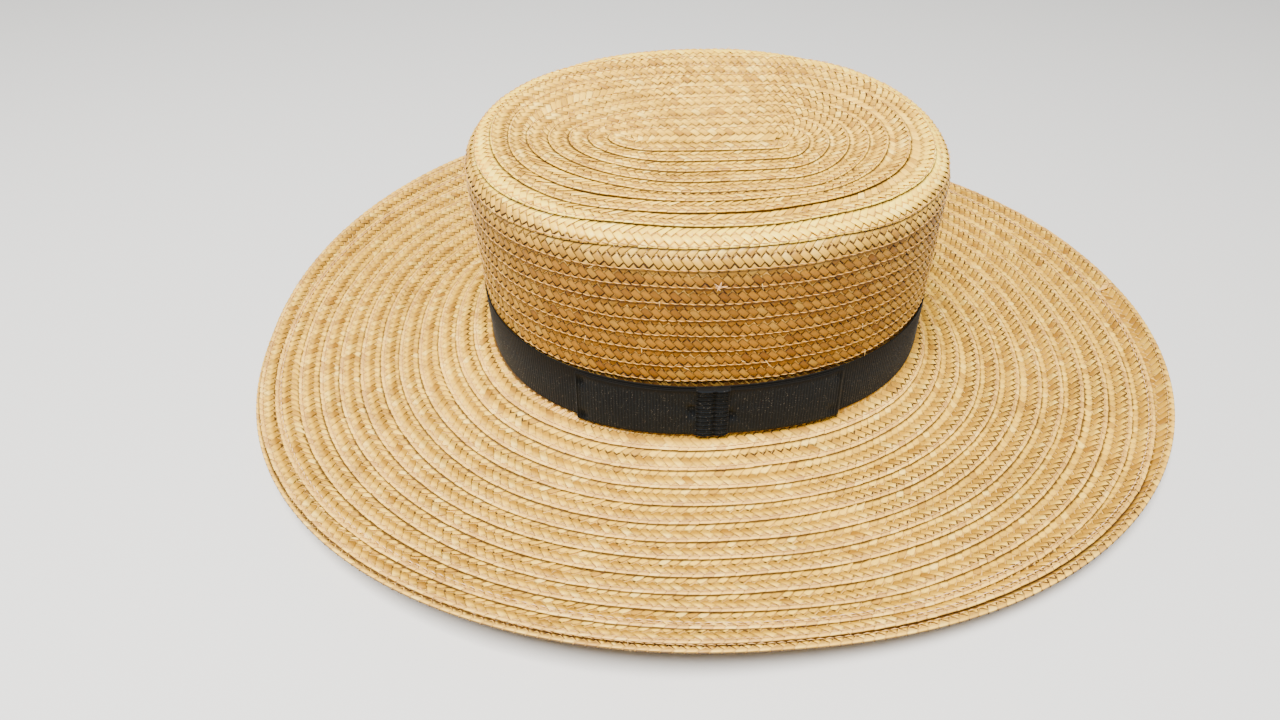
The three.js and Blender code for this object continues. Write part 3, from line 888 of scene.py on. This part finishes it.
# ---------------------------------------------------------------- loose fibres and thread ends
# Fine fibres that have split off the straws stand up along the crown's rim and the brim's edge, and a
# little clump of cotton is left on the side and on the tip where the sewing was started again.
def loose_ends(name, spots, half_thickness, length, lift, seed):
    """Short bent hairs, one at each spot of the coil, which is given as millimetres along and inward."""
    bm = bmesh.new()
    bmesh.ops.create_cone(
        bm, cap_ends=True, segments=3, radius1=half_thickness, radius2=half_thickness * 0.4, depth=1,
        matrix=Matrix.Translation((0.5, 0, 0)) @ Matrix.Rotation(math.pi / 2, 4, "Y"),
    )
    long_edges = [edge for edge in bm.edges if abs(edge.verts[0].co.x - edge.verts[1].co.x) > 0.5]
    bmesh.ops.subdivide_edges(bm, edges=long_edges, cuts=2)
    per_hair = len(bm.verts)
    mesh = arrayed(bm, name, len(spots), 2)
    points = points_of(mesh)
    luck = np.random.default_rng(seed)
    points[:, 0] -= 2 * np.repeat(np.arange(len(spots)), per_hair)
    turned, long, curl, up = (
        np.repeat(value, per_hair)
        for value in (
            luck.uniform(0, 2 * math.pi, len(spots)),
            length * luck.uniform(0.5, 1.3, len(spots)),
            luck.normal(0, 0.5, len(spots)),
            lift * luck.uniform(0.2, 1.2, len(spots)),
        )
    )
    along, aside, above = points[:, 0] * long, points[:, 1] + curl * points[:, 0] ** 2, points[:, 2]
    above = above + up * points[:, 0] * (2 - points[:, 0])
    x = along * np.cos(turned) - aside * np.sin(turned)
    y = along * np.sin(turned) + aside * np.cos(turned)
    points = np.stack([x, y, above], axis=1)
    points[:, :2] += np.repeat(spots, per_hair, axis=0)
    points[:, 2] += EDGE_HEIGHT + PLAIT_TILT * np.minimum(points[:, 1], 0)
    set_points(mesh, on_coil(points))
    return mesh


def coil_spots(first_turn, last_turn, count, inward, spread, seed):
    """Random spots between two turns, about inward millimetres from the free edge."""
    luck = np.random.default_rng(seed)
    along = np.interp(luck.uniform(first_turn, last_turn, count), coil_turns, coil_length)
    return np.stack([along, -inward + luck.normal(0, spread, count)], axis=1)


# A fibre of the same straw, too thin to show a pattern: pale, with a soft gloss.
loose_straw, tree, shader = material("loose_straw_fibre")
shader.inputs["Base Color"].default_value = linear("E2BC72")
shader.inputs["Roughness"].default_value = 0.5
crown_spots = np.concatenate([coil_spots(6.6, 8.9, 150, 2, 2.0, 41), coil_spots(9, 17, 60, 1, 1.0, 42)])
brim_spots = np.concatenate([coil_spots(32.0, 33.0, 70, 0.3, 0.5, 43), coil_spots(23, 32, 60, 1, 1.5, 44)])
side_clump = coil_spots(10.26, 10.267, 12, 0.8, 0.5, 45)
tip_clump = coil_spots(2.236, 2.244, 6, 0.7, 0.3, 46)
clump_spots = np.concatenate([side_clump, tip_clump])
for name, spots, half_thickness, length, lift, coat, node in (
    ("crown_fibres", crown_spots, 0.13, 2.6, 1.1, loose_straw, "crown"),
    ("brim_fibres", brim_spots, 0.13, 2.4, 0.9, loose_straw, "brim"),
    ("thread_clumps", clump_spots, 0.22, 1.5, 0.4, seam_thread, "crown"),
):
    piece = placed(name, loose_ends(name, spots, half_thickness, length, lift, 47), coat)
    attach(piece, "root")
    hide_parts(node)

# ---------------------------------------------------------------- ribbon band
# A 25 mm grosgrain ribbon, charcoal black, lies round the foot of the crown's side. Its ribs run up and
# down, its two edges are plain selvedges, and in front its top edge stands a little off the straw.
RIBBON_FOOT, RIBBON_WIDTH, RIBBON_THICKNESS = 1.7, 25.3, 0.4
RIB_PITCH = 1.2  # real ribs are about 0.8 mm apart, too fine to show
SELVEDGE, RIB_HEIGHT = 0.9, 0.2
BAND_OUT = 1.1
side_angles = np.linspace(0, 2 * math.pi, 1441)
side_line = hat_surface(side_angles, np.full_like(side_angles, RIBBON_FOOT + RIBBON_WIDTH / 2))
side_length = np.concatenate([[0], np.cumsum(np.linalg.norm(np.diff(side_line, axis=0), axis=1))])


def along_side(degrees):
    """Millimetres along the foot of the crown's side at that angle."""
    return float(np.interp(math.radians(degrees % 360), side_angles, side_length))


def on_side(points):
    """Points of a flat ribbon, x along it, y up from the headline and z out, laid on the crown's side."""
    angle = np.interp(points[:, 0] % side_length[-1], side_length, side_angles)
    height = points[:, 1]
    foot_x, foot_y, out_x, out_y = oval(angle, *HEADLINE)
    top_x, top_y, _, _ = oval(angle, *TOP)
    share = height / WALL
    # In front the upper part stands off the straw.
    front = np.exp(-((((np.degrees(angle) - 262 + 180) % 360 - 180) / 27) ** 2))
    out = points[:, 2] + 1.1 * front * np.clip((height - 17) / 10, 0, 1) ** 2
    x = foot_x + (top_x + TOP_SHIFT[0] - foot_x) * share + out_x * out
    y = foot_y + (top_y + TOP_SHIFT[1] - foot_y) * share + out_y * out
    return from_crown(x, y, height)


def ribbon_sheet(length, rib_count, rows):
    """A flat ribbed ribbon from x = 0 to length, its rows of faces closer together at its selvedges."""
    bm = bmesh.new()
    bmesh.ops.create_grid(bm, x_segments=rib_count * 4, y_segments=rows, size=0.5)
    lift, top_edge = bm.verts.layers.float.new("lift"), bm.verts.layers.float.new("top_edge")
    steps = {
        0: 0,
        1: SELVEDGE * 0.8,
        2: SELVEDGE,
        rows - 2: RIBBON_WIDTH - SELVEDGE,
        rows - 1: RIBBON_WIDTH - SELVEDGE * 0.8,
        rows: RIBBON_WIDTH,
    }
    for vert in bm.verts:
        level = round((vert.co.y + 0.5) * rows)
        height = steps.get(level, SELVEDGE + (RIBBON_WIDTH - 2 * SELVEDGE) * (level - 2) / (rows - 4))
        vert.co = ((vert.co.x + 0.5) * length, RIBBON_FOOT + height, 0)
        above, below = vert.co.y - RIBBON_FOOT, RIBBON_FOOT + RIBBON_WIDTH - vert.co.y
        in_ribs = min(above, below) > SELVEDGE * 0.9
        rib = 0.5 * (1 - math.cos(2 * math.pi * vert.co.x / RIB_PITCH)) if in_ribs else 0.25
        vert.co.z += RIB_HEIGHT * rib
        # The rib's height, which the material turns into painted light and shade.
        vert[lift] = rib
        vert[top_edge] = 1 if below < 0.9 else 0
    return bm


# Grosgrain of black silk or rayon: a dull, slightly bluish black, with dust on it. lift says how far out a
# point lies on its rib, and the material paints light and shade from it: paler crests, and darker troughs,
# dents, creases and folds.
grosgrain, tree, shader = material("black_grosgrain_ribbon")
shader.inputs["Roughness"].default_value = 0.75
shader.inputs["Specular IOR Level"].default_value = 0.09
shader.inputs["Specular Tint"].default_value = (0.6, 0.8, 1.0, 1.0)
shader.inputs["Sheen Weight"].default_value = 0.05
shader.inputs["Sheen Roughness"].default_value = 0.4
place = add(tree, "TexCoord").outputs["Object"]
cloud = add(tree, "TexNoise", Vector=place, Scale=60.0, Detail=3.0)
dust = add(tree, "TexNoise", Vector=place, Scale=1900.0, Detail=1.0)
speck = add(tree, "MapRange", Value=dust, From_Min=0.66, From_Max=0.74, To_Max=0.3)
lift = add(tree, "Attribute", {"attribute_name": "lift"}).outputs["Fac"]
ribs = add(tree, "MapRange", Value=lift, From_Min=-0.5, To_Min=0.1, To_Max=1.4)
# The top selvedge is painted a warm brown-black, to hide the blue that the light from above gives it.
top_edge = add(tree, "Attribute", {"attribute_name": "top_edge"}).outputs["Fac"]
colour = linear("0D1015")
for blend, amount, tint in (
    ("MIX", cloud, linear("13171C")),
    ("MIX", speck, linear("8E887C")),
    ("MULTIPLY", 1.0, ribs),
    ("MIX", top_edge, linear("100D09")),
):
    colour = add(tree, "MixRGB", {"blend_type": blend}, Fac=amount, Color1=colour, Color2=tint)
tree.links.new(colour.outputs[0], shader.inputs["Base Color"])
yarn = add(tree, "TexNoise", Vector=place, Scale=3500.0, Detail=1.0)
yarn_relief = add(tree, "Bump", Height=yarn, Strength=0.5, Distance=0.00008)
tree.links.new(yarn_relief.outputs["Normal"], shader.inputs["Normal"])

RIBS_ROUND = round(side_length[-1] / RIB_PITCH)
bm = ribbon_sheet(RIBS_ROUND * RIB_PITCH, RIBS_ROUND, 6)
bmesh.ops.solidify(bm, geom=bm.faces[:], thickness=RIBBON_THICKNESS)
open_ends(bm, RIBS_ROUND * RIB_PITCH)
top = max(vert.co.z for vert in bm.verts)
bmesh.ops.translate(bm, vec=(0, 0, BAND_OUT - top), verts=bm.verts)
bmesh.ops.scale(bm, vec=(side_length[-1] / (RIBS_ROUND * RIB_PITCH), 1, 1), verts=bm.verts)
bent(bm, on_side)
bmesh.ops.remove_doubles(bm, verts=bm.verts, dist=WELD)
band = placed("ribbon_band", finished(bm, "ribbon_band"), grosgrain)
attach(band, "root")
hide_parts("hat_band")


# ---------------------------------------------------------------- flat bow
# Two flat loops of the same ribbon lie on the band, one each side of the knot. Each is folded back at its
# end and tacked down there, and a short cross piece with its ribs lying flat is wrapped round the middle.
# The knot and the loops' ends, and half the knot's width, in degrees round the crown.
BOW_KNOT, LEFT_END, RIGHT_END, KNOT_HALF = -96, -131.7, -59.5, 4.7
LOOP_OUT, FOLD_HALF = 2.95, 0.45
TUCKED_IN = 1.2  # degrees of a loop that lie beneath the knot
# The dents of each loop, where it is tacked down and by the knot: along from its fold, up, and how deep.
LEFT_DENTS = ((2.2, 23.6, 1.1), (2.6, 5.0, 1.1), (45.0, 15.5, 1.6))
RIGHT_DENTS = ((2.4, 25, 0.6), (3.5, 6, 0.6), (45.0, 12.3, 1.6))


def loop_sheet(length, dents):
    """A loop from its fold, at x = 0, to the knot: out along the front, and back underneath."""
    ribs = round((2 * length + 2) / RIB_PITCH)
    total = ribs * RIB_PITCH
    bm = ribbon_sheet(total, ribs, 18)
    front = (total - math.pi * FOLD_HALF) / 2
    lift = bm.verts.layers.float["lift"]
    for vert in bm.verts:
        x, y, rib = vert.co
        middle = 1 - ((y - RIBBON_FOOT) / RIBBON_WIDTH * 2 - 1) ** 2
        if x < front:
            along, out, facing = front - x, LOOP_OUT, (0, 1)
            out += 0.5 * middle * math.sin(math.pi * min(1, along / front)) ** 0.7
            for dent_x, dent_y, deep in dents:
                out -= deep * math.exp(-(((along - dent_x) / 2.0) ** 2) - ((y - dent_y) / 2.2) ** 2)
                # Each dent is also painted darker, as its shade.
                painted_shade = 1.1 * deep * math.exp(-(((along - dent_x) / 1.5) ** 2) - ((y - dent_y) / 1.7) ** 2)
                vert[lift] -= painted_shade
            # Small folds fan out from the knot.
            from_knot = front - along + 2
            spread = math.atan2(y - RIBBON_FOOT - RIBBON_WIDTH / 2, from_knot)
            fan = math.cos(9 * spread) * math.exp(-from_knot / 7)
            out += 0.3 * fan
            # The fans are painted lighter and darker, and the loop's end at the fold is painted dark, as the
            # shade where it meets the band.
            vert[lift] += 0.4 * fan - 1.6 * math.exp(-max(along, 0))
        elif x < front + math.pi * FOLD_HALF:
            turn = (x - front) / FOLD_HALF
            facing = (-math.sin(turn), math.cos(turn))
            along = facing[0] * FOLD_HALF
            out = LOOP_OUT - FOLD_HALF + facing[1] * FOLD_HALF
        else:
            along, out, facing = x - front - math.pi * FOLD_HALF, LOOP_OUT - 2 * FOLD_HALF, (0, -1)
        vert.co = (along + facing[0] * rib + FOLD_HALF, y, out + facing[1] * rib)
    return bm


def bow_loop(name, node, fold_degrees, knot_degrees, dents):
    """One loop, from its fold to the knot, on whichever side of the knot its fold is."""
    fold_x, knot_x = along_side(fold_degrees), along_side(knot_degrees)
    bm = loop_sheet(abs(knot_x - fold_x), dents)
    way = 1 if knot_x > fold_x else -1
    bmesh.ops.scale(bm, vec=(way, 1, 1), verts=bm.verts)
    bmesh.ops.translate(bm, vec=(fold_x, 0, 0), verts=bm.verts)
    if way > 0:
        bmesh.ops.reverse_faces(bm, faces=bm.faces[:])
    bent(bm, on_side)
    bm.normal_update()
    bmesh.ops.solidify(bm, geom=bm.faces[:], thickness=RIBBON_THICKNESS / 2000)
    piece = placed(name, finished(bm, name), grosgrain)
    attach(piece, "root")
    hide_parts(node)


bow_loop("left_loop", "bow_left", LEFT_END, BOW_KNOT - KNOT_HALF + TUCKED_IN, LEFT_DENTS)
bow_loop("right_loop", "bow_right", RIGHT_END, BOW_KNOT + KNOT_HALF - TUCKED_IN, RIGHT_DENTS)

# The cross piece: its ribs run across the bow, it is creased twice, and its ends are bent in above and
# below.
KNOT_OUT, KNOT_OVER, KNOT_BEND = 3.75, 0.7, 0.9
knot_left, knot_right = along_side(BOW_KNOT - KNOT_HALF), along_side(BOW_KNOT + KNOT_HALF)
knot_width = knot_right - knot_left
knot_ribs = round((RIBBON_WIDTH + 2 * KNOT_OVER + 3) / RIB_PITCH)
knot_length = knot_ribs * RIB_PITCH
front_half = RIBBON_WIDTH / 2 + KNOT_OVER - KNOT_BEND
bm = bmesh.new()
bmesh.ops.create_grid(bm, x_segments=14, y_segments=knot_ribs * 4, size=0.5)
lift, top_edge = bm.verts.layers.float.new("lift"), bm.verts.layers.float.new("top_edge")
for vert in bm.verts:
    x, y = vert.co.x * knot_width, vert.co.y * knot_length
    rib = 0.19 * (1 - math.cos(2 * math.pi * y / RIB_PITCH))
    turn = max(0, abs(y) - front_half) / KNOT_BEND
    bend = min(turn, math.pi / 2)
    out = KNOT_OUT - KNOT_BEND * (1 - math.cos(bend)) - max(0, turn - math.pi / 2) * KNOT_BEND
    height = math.copysign(min(abs(y), front_half) + KNOT_BEND * math.sin(bend), y)
    crease = 0.45 * math.exp(-(((x - 0.6) / 0.8) ** 2)) + 0.3 * math.exp(-(((x + 6.2) / 0.7) ** 2))
    rounded = -0.7 * (2 * abs(x) / knot_width) ** 6
    nip = 1 - 0.03 * math.cos(math.pi * y / knot_length)
    across = (knot_left + knot_right) / 2 + x * nip
    vert.co = (across, RIBBON_FOOT + RIBBON_WIDTH / 2 + height, out - crease + rounded + rib)
    # Painted light and shade: every second rib is painted paler, because single ones are too fine to show,
    # and the creases and the rounded sides are painted darker.
    vert[lift] = 0.65 * (1 - math.cos(math.pi * y / RIB_PITCH)) - 2.4 * crease + 0.8 * rounded
    vert[top_edge] = min(1, turn) if y > 0 else 0
bent(bm, on_side)
bm.normal_update()
bmesh.ops.solidify(bm, geom=bm.faces[:], thickness=RIBBON_THICKNESS / 1000)
knot = placed("bow_cross_piece", finished(bm, "bow_cross_piece"), grosgrain)
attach(knot, "root")
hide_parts("bow_knot")


size = {"cad": [list(corner) for corner in cad_box], "visual": [list(corner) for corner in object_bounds()]}
